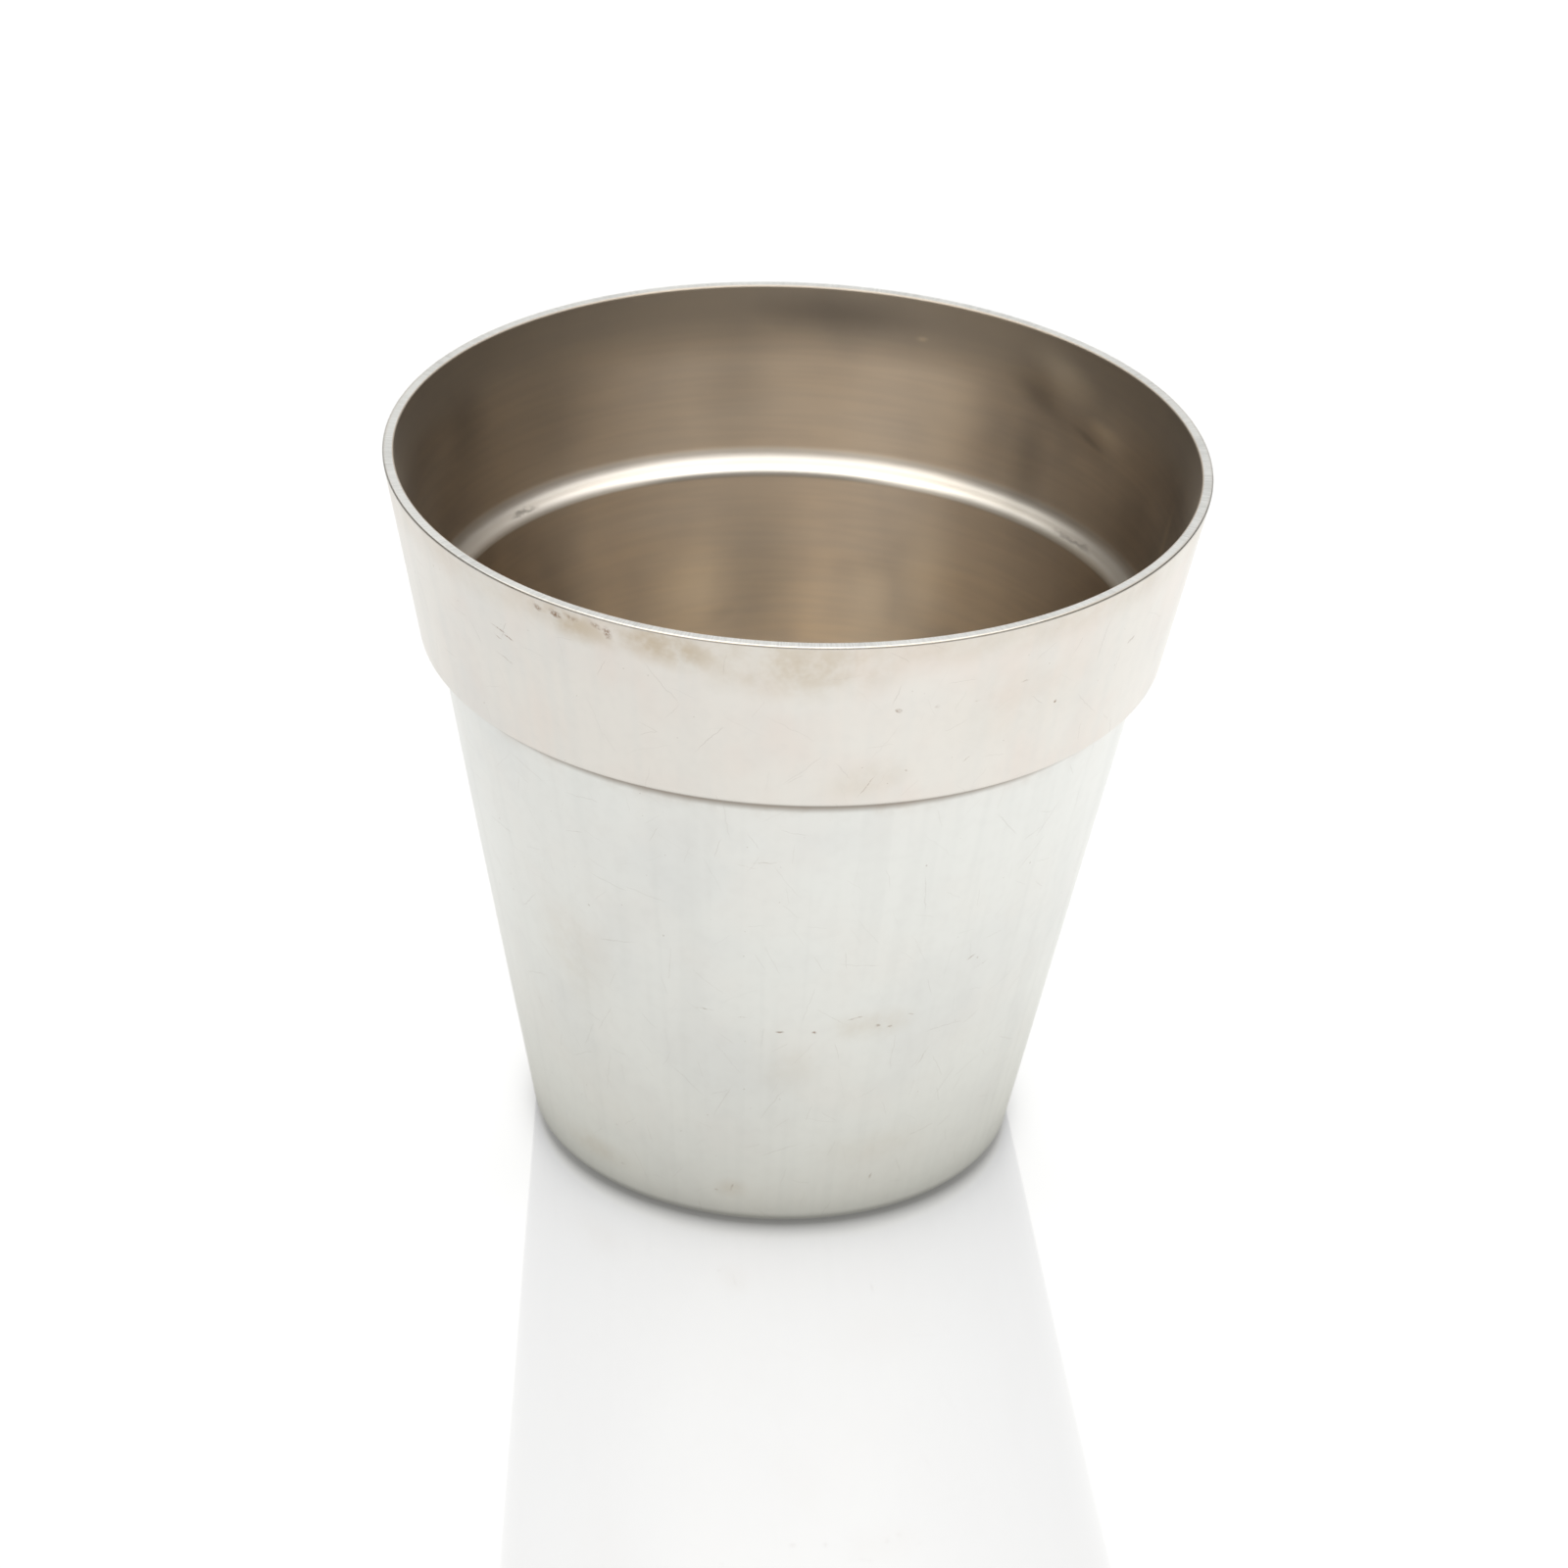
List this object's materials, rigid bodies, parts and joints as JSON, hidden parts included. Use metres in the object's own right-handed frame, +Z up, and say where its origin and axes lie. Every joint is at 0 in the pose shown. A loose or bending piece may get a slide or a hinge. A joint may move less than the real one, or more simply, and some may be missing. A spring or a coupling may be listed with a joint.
{
  "type": "plant pot",
  "caption": "Flowerpot-shaped steel pot: tapered body with its own bottom, stepped out to a flaring collar with a flat ground lip. Holds a plant, cutlery or small goods.",
  "frame": {"origin": "on the pot's axis, at the plane it stands on", "axes": "+Z up along the axis, out of the mouth; the shell is a body of revolution, so X and Y are any two level directions"},
  "size_m": [0.1098, 0.1098, 0.1],
  "materials": {
    "steel": "satin, polished round the pot, worn and slightly tarnished"
  },
  "bodies": {
    "root": {"pot_shell": "steel"}
  },
  "joints": []
}
